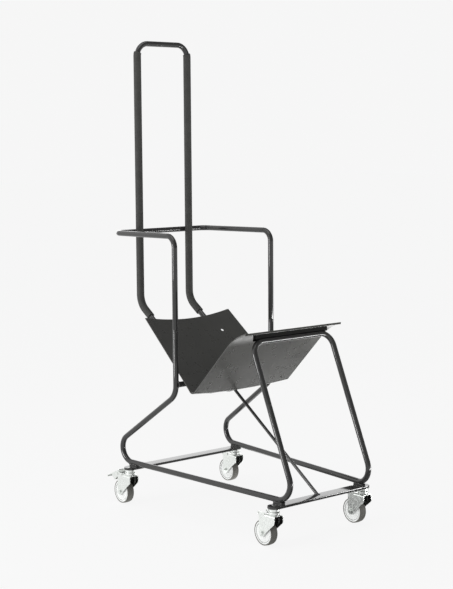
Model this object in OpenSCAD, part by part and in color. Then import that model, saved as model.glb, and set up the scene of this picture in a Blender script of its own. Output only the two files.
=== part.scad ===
// Stacking chair trolley: a bent tube frame on four swivel casters, with a folded seat plate
// that carries the first chair and a tall sleeved hoop that steadies the stack behind it.
// X points to the front, Y to the left and Z up. The origin is on the floor, under the middle.

/* [Tube frame] */
// Overall length, from the rear bar to the front bends
overall_l = 858; // [820:1:900]
// Outside diameter of the frame tubes
tube_d = 18; // [16:0.5:20]
// Wall of the frame tubes
tube_wall = 2; // [1.5:0.1:2.5]
// How far the middle of a post stands outside the edge of the plate's lip
post_out = 3; // [0:0.5:10]
// How far the front legs stand inside the posts
front_leg_in = 39; // [30:0.5:50]
// How far the rear corners of the base stand outside the posts
rear_corner_out = 29.5; // [20:0.5:40]
// Distance of the posts behind the middle
post_back = 78.5; // [70:0.5:95]
// Distance of the sharp rear corners of the base behind the rear end
rear_corner_over = 20; // [4:1:28]
// Height of the sharp corner where a post meets its slanted leg
knee_z = 398; // [388:1:410]
// Height of the front bar that carries the lip of the seat plate
front_bar_z = 600; // [590:1:610]
// Distance of the front bar behind the edge of the plate's lip
front_bar_inset = 13.2; // [10:0.1:18]
// Height of the push arms at the posts
arm_z = 905; // [860:1:960]
// How far the push arms drop towards the rear bar
arm_drop = 6; // [0:0.5:12]
// How far the rear corners of the push arms stand inside the posts
arm_rear_in = 10.5; // [4:0.5:30]

/* [Tall hoop] */
// Height of the top bar of the tall hoop
hoop_top_z = 1526; // [1400:1:1650]
// Half width across the legs of the tall hoop
hoop_half_w = 104.5; // [90:0.5:115]
// Slope of the hoop legs under the seat plate
hoop_rake = 34.3; // [31:0.1:36]
// Outside diameter of the soft sleeves
sleeve_d = 25.4; // [22:0.1:28]
// Angle that the sleeves reach into the top bends
sleeve_wrap = 17; // [8:1:40]
// Length of the sleeves below the sharp corner of the hoop legs
sleeve_tail_l = 71; // [60:1:90]

/* [Bends] */
// Bend radius where a post turns into its slanted leg
knee_r = 60; // [50:1:75]
// Bend radius of the rear corners of the base
rear_r = 46; // [40:1:52]
// Bend radius of the front corners of the base
front_r = 50; // [42:1:58]
// Bend radius of the front hoop
front_hoop_r = 42; // [34:1:50]
// Bend radius at the front of the push arms
arm_front_r = 36; // [28:1:44]
// Bend radius at the rear of the push arms
arm_rear_r = 36; // [28:1:44]
// Bend radius at the top of the tall hoop
hoop_top_r = 42; // [34:1:50]
// Bend radius of the tall hoop above the seat plate
hoop_knee_r = 60; // [48:1:75]

/* [Seat plate] */
// Thickness of the seat plate
plate_t = 3; // [2.5:0.1:4]
// Width of the plate at the top of its back wing
plate_back_w = 353; // [330:1:360]
// How far each side of the plate flares out towards the fold and the lip
plate_flare = 22; // [10:1:28]
// Distance of the sharp fold behind the middle
fold_back = 9.5; // [4:0.5:16]
// Height of the sharp fold
fold_z = 395.5; // [388:0.5:402]
// Slope of the back wing
back_slope = 38.7; // [37.5:0.1:40.5]
// Slope of the front wing
front_slope = 44.7; // [43.5:0.1:46]
// Length of the back wing from the sharp fold
back_wing_l = 351; // [330:1:370]
// Length of the flat front wing from the sharp fold
front_wing_l = 260.5; // [252:0.5:270]
// Inner radius of the fold
fold_r = 15; // [10:1:20]
// Radius of the rolled lip
lip_r = 190; // [175:1:205]
// Angle through which the lip rolls forward
lip_turn = 30.2; // [28:0.1:32]
// Depth of the hollow in the top edge of the back wing
edge_hollow = 14; // [8:1:22]
// Radius of the shallow dish of the back wing
dish_r = 1340; // [1100:10:2000]

/* [Base bars] */
// Width of the flat cross bars
bar_w = 40; // [36:1:46]
// Thickness of the flat cross bars
bar_t = 8; // [6:0.5:10]
// Gap between a cross bar and the base tubes above it
pad_h = 6; // [4:0.5:8]
// Diameter of the brace rod
rod_d = 10; // [8:0.5:12]

/* [Casters] */
// Height from the floor to the underside of the cross bars
caster_h = 120; // [118:0.5:126]
// Diameter of the wheels
wheel_d = 80; // [76:0.5:82]
// Width of the tyre
tyre_w = 24; // [20:0.5:26]
// Thickness of the tyre at its crown
tyre_t = 6; // [5:0.5:8]
// Distance of the axle behind the swivel
trail = 37; // [32:0.5:40]
// Distance of the front swivels behind the front end
front_swivel_inset = 55; // [47:1:63]
// How far the front swivels stand outside the front legs
front_swivel_out = 23.5; // [20:0.5:28]
// Distance of the rear swivels ahead of the rear end
rear_swivel_inset = 129; // [121:1:139]
// How far the rear swivels stand inside the rear corners of the base
rear_swivel_in = 3; // [0:0.5:8]
// Angle of the brake pedal below the level
pedal_slope = 25; // [22:0.5:28]

/* [Hidden] */
$fn = 64;

// Colours
paint = [0.16, 0.16, 0.16];
soft_grey = [0.27, 0.27, 0.26];
zinc = [0.86, 0.87, 0.88];
wheel_grey = [0.80, 0.81, 0.80];
rubber = [0.20, 0.20, 0.19];

// Shared small sizes; a bend draws the metal in a little, and straight runs lap into it
overrun = 2;
slip = 0.1;
bend_lap = 0.2;
bend_draw = 0.02;
running_gap = 0.5;
tube_r = tube_d / 2;
bore_d = tube_d - 2 * tube_wall;

// Base: the tubes rest on pads, on the cross bars, on the casters
front_swivel_x = overall_l / 2 - front_swivel_inset;
rear_swivel_back = overall_l / 2 - rear_swivel_inset;
bar_z = caster_h;
bar_top_z = bar_z + bar_t;
rail_z = bar_top_z + pad_h + tube_r;

// Seat plate: underside lines meet at the sharp fold
fold_pt = [-fold_back, fold_z];
back_dir = [-cos(back_slope), sin(back_slope)];
front_dir = [cos(front_slope), sin(front_slope)];
front_up = [-sin(front_slope), cos(front_slope)];
fold_outer_r = fold_r + plate_t;
fold_turn = back_slope + front_slope;
fold_setback = fold_outer_r * tan(fold_turn / 2);
lip_start = fold_pt + front_wing_l * front_dir;
lip_centre = lip_start - lip_r * front_up;
lip_end_slope = front_slope - lip_turn;
straight_up = 90;
lip_end = lip_centre + (lip_r + plate_t) * [-sin(lip_end_slope), cos(lip_end_slope)];
back_end = fold_pt + back_wing_l * back_dir;
plate_lip_w = plate_back_w + 2 * plate_flare;
plate_blank_w = plate_lip_w + 2 * overrun;
plate_cut_h = 60;
dish_flat_l = 60;
dish_flat_lap = 10;
dish_half_turn = asin(plate_blank_w / 2 / (dish_r - dish_flat_l));
edge_hollow_r = (pow(plate_back_w / 2, 2) + pow(edge_hollow, 2)) / (2 * edge_hollow);
back_hole_d = 10;
back_hole_up = 265;
back_hole_inset = 76;
back_hole_half_w = plate_back_w / 2 - back_hole_inset;
front_hole_d = 7;
front_hole_up = 48;
front_hole_inset = 43.5;
front_hole_half_w = plate_lip_w / 2 - front_hole_inset;

// Half widths of the frame, set off from the plate's lip; the plate is waisted to pass the posts
post_half_w = plate_lip_w / 2 + post_out;
waist_gap = 1;
waist_half_w = post_half_w - tube_r - waist_gap;
front_half_w = post_half_w - front_leg_in;
rear_half_w = post_half_w + rear_corner_out;
arm_rear_half_w = post_half_w - arm_rear_in;
front_swivel_half_w = front_half_w + front_swivel_out;
rear_swivel_half_w = rear_half_w - rear_swivel_in;

// Sharp corners of the tube frame; side is 1 on the left and -1 on the right
rear_corner_back = overall_l / 2 + rear_corner_over;
arm_rear_x = -overall_l / 2 + tube_r;
rear_bar_z = arm_z - arm_drop;
function post_point(side, z) = [-post_back, side * post_half_w, z];
function rear_corner(side) = [-rear_corner_back, side * rear_half_w, rail_z];
function arm_corner(side) = [arm_rear_x, side * arm_rear_half_w, rear_bar_z];

// Front legs: tangent to the front bends of the base, up to the bar under the plate's lip
front_bar = [lip_end[0] - front_bar_inset, front_bar_z];
front_bend = [overall_l / 2 - tube_r - front_r, rail_z + front_r];
leg_touch = tangent_point(front_bar, front_bend, front_r, -1);
front_lean = atan2(leg_touch[0] - front_bar[0], front_bar_z - leg_touch[1]);
front_corner_x = leg_touch[0] + (leg_touch[1] - rail_z) * tan(front_lean);
function front_corner(side) = [front_corner_x, side * front_half_w, rail_z];
function leg_point(side, z) = [front_corner_x - (z - rail_z) * tan(front_lean), side * front_half_w, z];

// Push-fit joints of the posts and front legs, each with a rivet below its seam
post_seam_z = 608;
leg_seam_z = 423;
seam_w = 1.2;
seam_depth = 0.5;
rivet_drop = 5.5;
spigot_l = 80;
rivet_d = 4;
rivet_head_d = 7;
rivet_head_t = 1.4;
leg_dir = unit(leg_point(1, front_bar_z) - front_corner(1));
leg_front_tilt = straight_up - front_lean;

// Rear cross tube: touches the underside of the back wing, just ahead of the posts' middle
cross_ahead = 8;
cross_x = cross_ahead - post_back;
cross_z = fold_z + (-fold_back - cross_x) * tan(back_slope) - tube_r / cos(back_slope);

// Tall hoop: stands ahead of the rear bar, on its sleeves, and its legs end on the cross tube
hoop_x = arm_rear_x + tube_r + sleeve_d / 2;
hoop_knee_z = cross_z + (cross_x - hoop_x) * tan(hoop_rake);
function hoop_foot(side) = [cross_x, side * hoop_half_w, cross_z];
function hoop_knee(side) = [hoop_x, side * hoop_half_w, hoop_knee_z];
function hoop_top(side) = [hoop_x, side * hoop_half_w, hoop_top_z];
screw_d = 6;
screw_head_d = 12;
screw_head_t = 3.5;
screw_grip = 3;

// Brace: a rod from the front cross bar, under the fold, to the rear cross tube
rod_foot_inset = 9;
rod_low = 5;
rod_foot = [front_swivel_x - bar_w / 2 + rod_foot_inset, bar_top_z];
rod_head = [cross_x, cross_z - rod_low];

// Lip pad: a strip between the front bar and the rolled lip
lip_pad_w = 18;
lip_pad_in = 35;
lip_pad_l = 2 * (front_half_w - lip_pad_in);
lip_pad_h = 40;

// Base pads under the tubes
pad_l = 38;
pad_w = 15;
pad_saddle = 2.2;
front_pad_ahead = 2;
rear_pad_ahead = 12;
front_pad_x = front_swivel_x + front_pad_ahead;
rear_pad_x = rear_pad_ahead - rear_swivel_back;
function rail_half_w(x) = front_half_w + (rear_half_w - front_half_w)
    * (front_corner_x - x) / (front_corner_x + rear_corner_back);

// Casters: name and place of the swivel; the last one has the brake
CASTERS = [
    ["front_left", [front_swivel_x, front_swivel_half_w]],
    ["front_right", [front_swivel_x, -front_swivel_half_w]],
    ["rear_left", [-rear_swivel_back, rear_swivel_half_w]],
    ["rear_right", [-rear_swivel_back, -rear_swivel_half_w]]
];
braked = CASTERS[3];
stem_d = 12;
race_d = 34;
race_h = 9;
race_chamfer = 1.5;
kingpin_d = 10;
kingpin_head_d = 17;
kingpin_head_t = 3;
ball_d = 4.6;
ball_ring_r = 11;
ball_count = 12;
ball_slack = 0.3;
groove_r = ball_d / 2 + ball_slack;
race_gap_z = caster_h - race_h;
lower_race_top_z = race_gap_z - running_gap;
ball_z = race_gap_z - running_gap / 2;
fork_top_z = lower_race_top_z - race_h;
fork_t = 2.5;
tyre_room = 3.5;
fork_gap = tyre_w + 2 * tyre_room;
fork_w = fork_gap + 2 * fork_t;
fork_shoulder_r = 7;
fork_front = 21;
fork_back = 24;
fork_boss_r = 12;
flute_back = 16;
flute_front = 5;
flute_depth = 0.8;
axle_z = wheel_d / 2;
axle_d = 8;
axle_head_d = 14;
axle_head_t = 5;
axle_nut_d = 13;
axle_nut_t = 6;
axle_tip = 2;
sleeve_od = 12;
hub_d = 26;
hub_gap = 0.5;
hub_w = fork_gap - 2 * hub_gap;
tyre_r = wheel_d / 2;
rim_r = tyre_r - tyre_t;
rim_lip = 3.5;
rim_lip_w = 1.5;
tyre_crown_r = 30;
disc_inset = 1;
ring_groove_in = 3.5;
ring_groove_r = rim_r - ring_groove_in;
ring_groove_w = 1.8;
ring_groove_depth = 3;

// Ears at the back of each fork, and the brake pedal that turns in one pair of them
ear_back = 50;
ear_drop = 2.5;
ear_z = fork_top_z - ear_drop;
ear_r = 6;
pin_d = 5;
pin_head_d = 8;
pin_head_t = 1.5;
pedal_t = 2;
pedal_w = fork_gap - 2 * hub_gap;
pedal_l = 65;
pedal_front = 10;
pedal_rise = 11;
pedal_flange_l = 38;
pedal_toe_h = 5;
shoe_r = 5;
shoe_back = 27.5;
shoe_drop = 9.2;

// Vector helpers
function unit(v) = v / norm(v);
function turn_at(p, i) = acos(unit(p[i] - p[i - 1]) * unit(p[i + 1] - p[i]));
function setback(p, r, i) = i == 0 || i == len(p) - 1 ? 0 : r[i] * tan(turn_at(p, i) / 2);
function xz(p, y = 0) = [p[0], y, p[1]];

// Places its children with their Z axis pointing from a to b
module along(a, b) {
    d = b - a;
    translate(a)
        rotate([0, acos(d[2] / norm(d)), atan2(d[1], d[0])])
            children();
}

// A round bar bent at the inner points of a path, each bend with its own radius
module bent_bar(p, r, d, extra = 0) {
    last = len(p) - 2;
    for (i = [0:last]) {
        u = unit(p[i + 1] - p[i]);
        a = p[i] + u * (setback(p, r, i) - (i == 0 ? extra : bend_lap));
        b = p[i + 1] - u * (setback(p, r, i + 1) - (i == last ? extra : bend_lap));
        along(a, b)
            cylinder(d = d, h = norm(b - a));
    }
    for (i = [1:last])
        bend(p[i], unit(p[i] - p[i - 1]), unit(p[i + 1] - p[i]), r[i], d - bend_draw);
}

// One bend: a sector of a ring whose start is set back from the sharp corner; sweep may stop it early
module bend(corner, u, v, r, d, sweep = 180) {
    turn = acos(u * v);
    n = unit(cross(u, v));
    m = cross(n, u);
    c = corner - u * r * tan(turn / 2) + m * r;
    multmatrix([
        [-m[0], u[0], n[0], c[0]],
        [-m[1], u[1], n[1], c[1]],
        [-m[2], u[2], n[2], c[2]],
        [0, 0, 0, 1]
    ])
        rotate_extrude(angle = min(turn, sweep))
            translate([r, 0])
                circle(d = d);
}

module bent_tube(p, r, d, inner_d) {
    difference() {
        bent_bar(p, r, d);
        bent_bar(p, r, inner_d, overrun);
    }
}

// Paths of the bent tubes
function side_path(side) = [
    post_point(side, post_seam_z), post_point(side, knee_z), rear_corner(side), front_corner(side),
    leg_point(side, leg_seam_z)
];
side_radii = [0, knee_r, rear_r, front_r, 0];
arm_path = [
    post_point(-1, post_seam_z), post_point(-1, arm_z), arm_corner(-1),
    arm_corner(1), post_point(1, arm_z), post_point(1, post_seam_z)
];
arm_radii = [0, arm_front_r, arm_rear_r, arm_rear_r, arm_front_r, 0];
front_path = [
    leg_point(-1, leg_seam_z), leg_point(-1, front_bar_z), leg_point(1, front_bar_z), leg_point(1, leg_seam_z)
];
front_radii = [0, front_hoop_r, front_hoop_r, 0];
hoop_path = [hoop_foot(-1), hoop_knee(-1), hoop_top(-1), hoop_top(1), hoop_knee(1), hoop_foot(1)];
hoop_radii = [0, hoop_knee_r, hoop_top_r, hoop_top_r, hoop_knee_r, 0];
hoop_leg_dir = unit(hoop_foot(1) - hoop_knee(1));

// Cuts for the rivets of one side: one in the post and one in the front leg, from the front
module rivet_places(side) {
    translate(post_point(side, post_seam_z - rivet_drop))
        rotate([0, 90, 0])
            children();
    translate(leg_point(side, leg_seam_z) - rivet_drop * leg_dir)
        rotate([0, leg_front_tilt, 0])
            children();
}

module rivet_holes(side) {
    rivet_places(side)
        cylinder(d = rivet_d, h = tube_d);
}

// A shallow groove round each joint of one side, half of it in each of the two tubes
module seam_grooves(side) {
    along(post_point(side, post_seam_z), post_point(side, arm_z))
        seam_groove();
    along(leg_point(side, leg_seam_z), leg_point(side, front_bar_z))
        seam_groove();
}

module seam_groove() {
    difference() {
        cylinder(d = tube_d + 2 * overrun, h = seam_w, center = true);
        cylinder(d = tube_d - 2 * seam_depth, h = seam_w + 2 * overrun, center = true);
    }
}

module side_frame(side) {
    color(paint)
        difference() {
            bent_tube(side_path(side), side_radii, tube_d, bore_d);
            rivet_holes(side);
            seam_grooves(side);
        }
}

module arm_loop() {
    color(paint)
        difference() {
            bent_tube(arm_path, arm_radii, tube_d, bore_d);
            hoop_screw_places()
                cylinder(d = screw_d, h = 3 * tube_d, center = true);
            for (side = [-1, 1])
                seam_grooves(side);
        }
}

module front_hoop() {
    color(paint)
        difference() {
            bent_tube(front_path, front_radii, tube_d, bore_d);
            for (side = [-1, 1])
                seam_grooves(side);
        }
}

module spigot(from, to) {
    along(from, to)
        difference() {
            cylinder(d = bore_d, h = spigot_l);
            translate([0, 0, -overrun])
                cylinder(d = bore_d - 2 * tube_wall, h = spigot_l + 2 * overrun);
        }
}

module joint_spigots() {
    color(zinc)
        for (side = [-1, 1])
            difference() {
                union() {
                    spigot(post_point(side, post_seam_z - spigot_l / 2), post_point(side, post_seam_z));
                    spigot(leg_point(side, leg_seam_z) - leg_dir * spigot_l / 2, leg_point(side, leg_seam_z));
                }
                rivet_holes(side);
            }
}

module joint_rivets() {
    color(paint)
        for (side = [-1, 1])
            rivet_places(side)
                rivet();
}

// A domed rivet through one wall of the tube and its spigot
module rivet() {
    translate([0, 0, bore_d / 2 - 2 * tube_wall])
        cylinder(d = rivet_d, h = 3 * tube_wall);
    difference() {
        translate([0, 0, tube_r - rivet_head_t / 4])
            cylinder(d1 = rivet_head_d, d2 = rivet_d, h = rivet_head_t);
        rotate([0, 90, 0])
            cylinder(d = tube_d, h = 2 * rivet_head_d, center = true);
    }
}

module rear_cross_tube() {
    color(paint)
        difference() {
            translate([cross_x, 0, cross_z])
                rotate([90, 0, 0])
                    difference() {
                        cylinder(d = tube_d, h = 2 * post_half_w, center = true);
                        cylinder(d = bore_d, h = 2 * post_half_w + overrun, center = true);
                    }
            for (side = [-1, 1])
                bent_bar(side_path(side), side_radii, tube_d);
        }
}

// A flat bar with round ends and a stem hole at each end
module cross_bar(x, half_w) {
    color(paint)
        translate([x, 0, bar_z])
            difference() {
                union() {
                    translate([-bar_w / 2, -half_w, 0])
                        cube([bar_w, 2 * half_w, bar_t]);
                    for (side = [-1, 1])
                        translate([0, side * half_w, 0])
                            cylinder(d = bar_w, h = bar_t);
                }
                for (side = [-1, 1])
                    translate([0, side * half_w, -overrun])
                        cylinder(d = stem_d, h = bar_t + 2 * overrun);
            }
}

module front_cross_bar() {
    cross_bar(front_swivel_x, front_swivel_half_w);
}

module rear_cross_bar() {
    cross_bar(-rear_swivel_back, rear_swivel_half_w);
}

module rail_pads() {
    color(paint)
        for (side = [-1, 1])
            difference() {
                for (x = [front_pad_x, rear_pad_x])
                    translate([x - pad_l / 2, side * rail_half_w(x) - pad_w / 2, bar_top_z])
                        cube([pad_l, pad_w, pad_h + pad_saddle]);
                along(rear_corner(side), front_corner(side))
                    cylinder(d = tube_d, h = norm(front_corner(side) - rear_corner(side)));
            }
}

module brace_rod() {
    color(paint)
        difference() {
            along(xz(rod_foot), xz(rod_head))
                translate([0, 0, -2 * rod_d])
                    cylinder(d = rod_d, h = norm(rod_head - rod_foot) + 2 * rod_d);
            translate([rod_foot[0] - 3 * rod_d, -rod_d, bar_top_z - 4 * rod_d])
                cube([6 * rod_d, 2 * rod_d, 4 * rod_d]);
            translate([cross_x, 0, cross_z])
                rotate([90, 0, 0])
                    cylinder(d = tube_d, h = 4 * rod_d, center = true);
        }
}

// The folded plate before its outline is trimmed: dished back wing and fold, flat front wing, rolled lip
module plate_blank() {
    flat_from = dish_flat_l - dish_flat_lap;
    axis = fold_pt + dish_r * front_dir;
    multmatrix([
        [-front_dir[0], 0, front_up[0], axis[0]],
        [0, -1, 0, 0],
        [-front_dir[1], 0, front_up[1], axis[1]],
        [0, 0, 0, 1]
    ])
        rotate([0, 0, -dish_half_turn])
            rotate_extrude(angle = 2 * dish_half_turn, $fn = 720)
                fold_section();
    translate(xz(fold_pt + flat_from * front_dir))
        rotate([0, -front_slope, 0])
            translate([0, -plate_blank_w / 2, 0])
                cube([front_wing_l - flat_from + bend_lap, plate_blank_w, plate_t]);
    rolled(lip_centre, lip_r, straight_up + lip_end_slope, lip_turn);
}

// Section of the dished part about its axis: a strip of the front wing, the fold and the back wing
module fold_section() {
    far = 2 * fold_outer_r;
    translate([dish_r - dish_flat_l, 0])
        square([dish_flat_l - fold_setback + bend_lap, plate_t]);
    translate([dish_r - fold_setback, fold_outer_r])
        rotate(-straight_up)
            intersection() {
                difference() {
                    circle(r = fold_outer_r - bend_draw / 2);
                    circle(r = fold_r + bend_draw / 2);
                }
                polygon([
                    [0, 0], [far, 0], far * [cos(fold_turn / 2), sin(fold_turn / 2)],
                    far * [cos(fold_turn), sin(fold_turn)]
                ]);
            }
    translate([dish_r, 0])
        rotate(fold_turn)
            translate([fold_setback - bend_lap, 0])
                square([back_wing_l - fold_setback + bend_lap, plate_t]);
}

// A rolled strip of plate, bent about a line across the plate
module rolled(centre, r, start, sweep) {
    translate(xz(centre))
        rotate([90, 0, 0])
            rotate([0, 0, start])
                rotate_extrude(angle = sweep)
                    translate([r + bend_draw / 2, -plate_blank_w / 2])
                        square([plate_t - bend_draw, plate_blank_w]);
}

// Outline of the plate from above: wider towards the fold, and of one width from there to the lip
module plate_outline() {
    ends = [back_end[0] - 2 * overrun, lip_end[0] + 2 * overrun];
    back_half = plate_back_w / 2;
    lip_half = plate_lip_w / 2;
    polygon([
        [ends[0], -back_half], [-post_back, -waist_half_w], [fold_pt[0], -lip_half], [ends[1], -lip_half],
        [ends[1], lip_half], [fold_pt[0], lip_half], [-post_back, waist_half_w], [ends[0], back_half]
    ]);
}

module seat_plate() {
    color(paint)
        difference() {
            intersection() {
                plate_blank();
                linear_extrude(height = hoop_top_z)
                    plate_outline();
            }
            translate(xz(fold_pt + (back_wing_l - edge_hollow + edge_hollow_r) * back_dir))
                rotate([0, back_slope, 0])
                    cylinder(r = edge_hollow_r, h = plate_cut_h, center = true, $fn = 180);
            for (side = [-1, 1]) {
                translate(xz(fold_pt + back_hole_up * back_dir, side * back_hole_half_w))
                    rotate([0, back_slope, 0])
                        cylinder(d = back_hole_d, h = plate_cut_h, center = true);
                translate(xz(fold_pt + front_hole_up * front_dir, side * front_hole_half_w))
                    rotate([0, -front_slope, 0])
                        cylinder(d = front_hole_d, h = plate_cut_h, center = true);
            }
        }
}

module lip_pad() {
    color(rubber)
        intersection() {
            difference() {
                translate([front_bar[0] - lip_pad_w / 2, -lip_pad_l / 2, front_bar_z])
                    cube([lip_pad_w, lip_pad_l, lip_pad_h]);
                translate([front_bar[0], 0, front_bar_z])
                    rotate([90, 0, 0])
                        cylinder(d = tube_d, h = 2 * lip_pad_l, center = true);
            }
            translate(xz(lip_centre))
                rotate([90, 0, 0])
                    cylinder(r = lip_r, h = 2 * lip_pad_l, center = true, $fn = 180);
        }
}

// Places for the two screws that hold the tall hoop to the rear bar, pointing forward
module hoop_screw_places() {
    for (side = [-1, 1])
        translate([arm_rear_x, side * hoop_half_w, rear_bar_z])
            rotate([0, 90, 0])
                children();
}

module back_hoop() {
    color(paint)
        difference() {
            bent_tube(hoop_path, hoop_radii, tube_d, bore_d);
            translate([cross_x, 0, cross_z])
                rotate([90, 0, 0])
                    cylinder(d = tube_d, h = 2 * post_half_w, center = true);
            hoop_screw_places()
                cylinder(d = screw_d, h = hoop_x - arm_rear_x);
        }
}

// A sleeve runs from above the plate up into the top bend
module hoop_sleeve(side) {
    tail = hoop_knee(side) + sleeve_tail_l * hoop_leg_dir;
    bend_foot = hoop_top(side) - [0, 0, hoop_top_r - bend_lap];
    color(soft_grey)
        difference() {
            union() {
                bent_bar([tail, hoop_knee(side), bend_foot], [0, hoop_knee_r, 0], sleeve_d);
                bend(hoop_top(side), [0, 0, 1], [0, -side, 0], hoop_top_r, sleeve_d - bend_draw, sleeve_wrap);
            }
            bent_bar(hoop_path, hoop_radii, tube_d, overrun);
            hoop_screw_places()
                cylinder(d = screw_d, h = hoop_x - arm_rear_x);
        }
}

module hoop_screws() {
    shank_l = tube_r + sleeve_d / 2 + screw_grip;
    color(zinc)
        hoop_screw_places() {
            translate([0, 0, -tube_r])
                cylinder(d = screw_d, h = shank_l);
            translate([0, 0, -tube_r - screw_head_t])
                cylinder(d1 = screw_d, d2 = screw_head_d, h = screw_head_t);
        }
}

// Casters

module at_swivel(c) {
    translate([c[1][0], c[1][1], 0])
        children();
}

// Z points from the outer end of the axle to its inner end
module at_axle(c) {
    translate([c[1][0] - trail, c[1][1], axle_z])
        rotate([90 * sign(c[1][1]), 0, 0])
            children();
}

module ball_groove() {
    translate([0, 0, ball_z])
        rotate_extrude()
            translate([ball_ring_r, 0])
                circle(r = groove_r);
}

// Threaded stem with the upper race and the kingpin that carries the fork
module caster_head(c) {
    pin_low_z = fork_top_z - fork_t - kingpin_head_t;
    color(zinc)
        at_swivel(c)
            difference() {
                union() {
                    translate([0, 0, caster_h])
                        cylinder(d = stem_d, h = bar_t);
                    translate([0, 0, race_gap_z + race_chamfer])
                        cylinder(d = race_d, h = race_h - race_chamfer);
                    translate([0, 0, race_gap_z])
                        cylinder(d1 = race_d - 2 * race_chamfer, d2 = race_d, h = race_chamfer);
                    translate([0, 0, pin_low_z])
                        cylinder(d = kingpin_d, h = race_gap_z - pin_low_z + overrun);
                    translate([0, 0, pin_low_z])
                        cylinder(d1 = kingpin_d, d2 = kingpin_head_d, h = kingpin_head_t - running_gap);
                }
                ball_groove();
            }
}

module swivel_balls() {
    color(zinc)
        for (c = CASTERS)
            at_swivel(c)
                for (i = [0:ball_count - 1])
                    rotate([0, 0, i * 360 / ball_count])
                        translate([ball_ring_r, 0, ball_z])
                            sphere(d = ball_d);
}

// Tangent point of a line from p to a circle; hand is 1 or -1
function tangent_point(p, c, r, hand) =
    let (d = norm(p - c), a = acos(r / d), b = atan2(p[1] - c[1], p[0] - c[0]))
    c + r * [cos(b + hand * a), sin(b + hand * a)];

// Side view of a fork leg: level top, upright back edge, and a round boss about the axle
module leg_outline() {
    axle = [-trail, axle_z];
    back = -trail - fork_boss_r;
    low_front = [fork_front, fork_top_z - fork_shoulder_r];
    polygon([
        [fork_front, fork_top_z], low_front, tangent_point(low_front, axle, fork_boss_r, -1), axle,
        [back, axle_z], [back, fork_top_z]
    ]);
    translate(axle)
        circle(r = fork_boss_r);
}

// Pressed steel fork: a channel with round shoulders, cut to the outline of its legs
module fork(c) {
    color(zinc)
        at_swivel(c)
            difference() {
                union() {
                    difference() {
                        intersection() {
                            union() {
                                fork_channel(fork_top_z);
                                leg_flutes(fork_gap - flute_depth);
                            }
                            rotate([90, 0, 0])
                                linear_extrude(height = 2 * fork_w, center = true)
                                    leg_outline();
                        }
                        leg_flutes(fork_w + flute_depth);
                        top_window();
                    }
                    fork_ears();
                    translate([0, 0, fork_top_z])
                        cylinder(d = race_d, h = race_h - race_chamfer);
                    translate([0, 0, lower_race_top_z - race_chamfer])
                        cylinder(d1 = race_d, d2 = race_d - 2 * race_chamfer, h = race_chamfer);
                }
                ball_groove();
                translate([0, 0, fork_top_z - 2 * fork_t])
                    cylinder(d = kingpin_d + slip, h = 3 * race_h);
                translate([-trail, 0, axle_z])
                    rotate([90, 0, 0])
                        cylinder(d = axle_d, h = 2 * fork_w, center = true);
                translate([-ear_back, 0, ear_z])
                    rotate([90, 0, 0])
                        cylinder(d = pin_d, h = 2 * fork_w, center = true);
            }
}

// Two upright strips, one on each leg, centred on planes that are w apart
module leg_flutes(w) {
    for (side = [-1, 1])
        translate([-flute_back, side * w / 2 - flute_depth, 0])
            cube([flute_back + flute_front, 2 * flute_depth, fork_top_z - fork_shoulder_r]);
}

// The top of the channel is open behind the race, where the pedal turns
module top_window() {
    run = ear_back + 2 * ear_r - fork_back;
    translate([-fork_back - run, -fork_gap / 2, fork_top_z - fork_shoulder_r])
        cube([run, fork_gap, 2 * fork_shoulder_r]);
}

module fork_ears() {
    for (side = [-1, 1])
        translate([0, side * (fork_gap + fork_t) / 2, 0])
            rotate([90, 0, 0])
                linear_extrude(height = fork_t, center = true) {
                    translate([-ear_back, ear_z])
                        circle(r = ear_r);
                    translate([-ear_back, ear_z - ear_r])
                        square([ear_back - fork_back, 2 * ear_r]);
                }
}

// The channel runs along X; its top edges are rounded outside and inside
module fork_channel(h) {
    run = 2 * (trail + wheel_d);
    rotate([90, 0, 90])
        linear_extrude(height = run, center = true)
            difference() {
                channel_section(fork_w, h, fork_shoulder_r);
                channel_section(fork_gap, h - fork_t, fork_shoulder_r - fork_t);
            }
}

module channel_section(w, h, r) {
    translate([-w / 2, 0])
        square([w, h - r]);
    translate([-w / 2 + r, 0])
        square([w - 2 * r, h]);
    for (side = [-1, 1])
        translate([side * (w / 2 - r), h - r])
            circle(r = r);
}

module axle_sleeve(c) {
    color(zinc)
        at_axle(c)
            difference() {
                cylinder(d = sleeve_od, h = fork_gap, center = true);
                cylinder(d = axle_d, h = fork_gap + overrun, center = true);
            }
}

module axle_bolt(c) {
    color(zinc)
        at_axle(c) {
            translate([0, 0, -fork_w / 2])
                cylinder(d = axle_d, h = fork_w + axle_nut_t + axle_tip);
            translate([0, 0, -fork_w / 2 - axle_head_t])
                cylinder(d1 = axle_head_d - axle_head_t / 2, d2 = axle_head_d, h = axle_head_t);
        }
}

module axle_nut(c) {
    color(zinc)
        at_axle(c)
            translate([0, 0, fork_w / 2])
                difference() {
                    cylinder(d = 2 * axle_nut_d / sqrt(3), h = axle_nut_t, $fn = 6);
                    translate([0, 0, -overrun])
                        cylinder(d = axle_d, h = axle_nut_t + 2 * overrun);
                }
}

// Half section of the moulded wheel centre: hub, flat disc with a ring groove, and rim lips
module wheel_section() {
    half_rim = tyre_w / 2;
    difference() {
        union() {
            translate([0, -hub_w / 2])
                square([hub_d / 2, hub_w]);
            translate([0, disc_inset - half_rim])
                square([rim_r, tyre_w - 2 * disc_inset]);
            for (side = [-1, 1])
                translate([ring_groove_r, side * (half_rim - rim_lip_w / 2) - rim_lip_w / 2])
                    square([rim_r - ring_groove_r + rim_lip, rim_lip_w]);
        }
        for (side = [-1, 1])
            translate([ring_groove_r - ring_groove_w / 2, side * half_rim - ring_groove_depth])
                square([ring_groove_w, 2 * ring_groove_depth]);
    }
}

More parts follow.
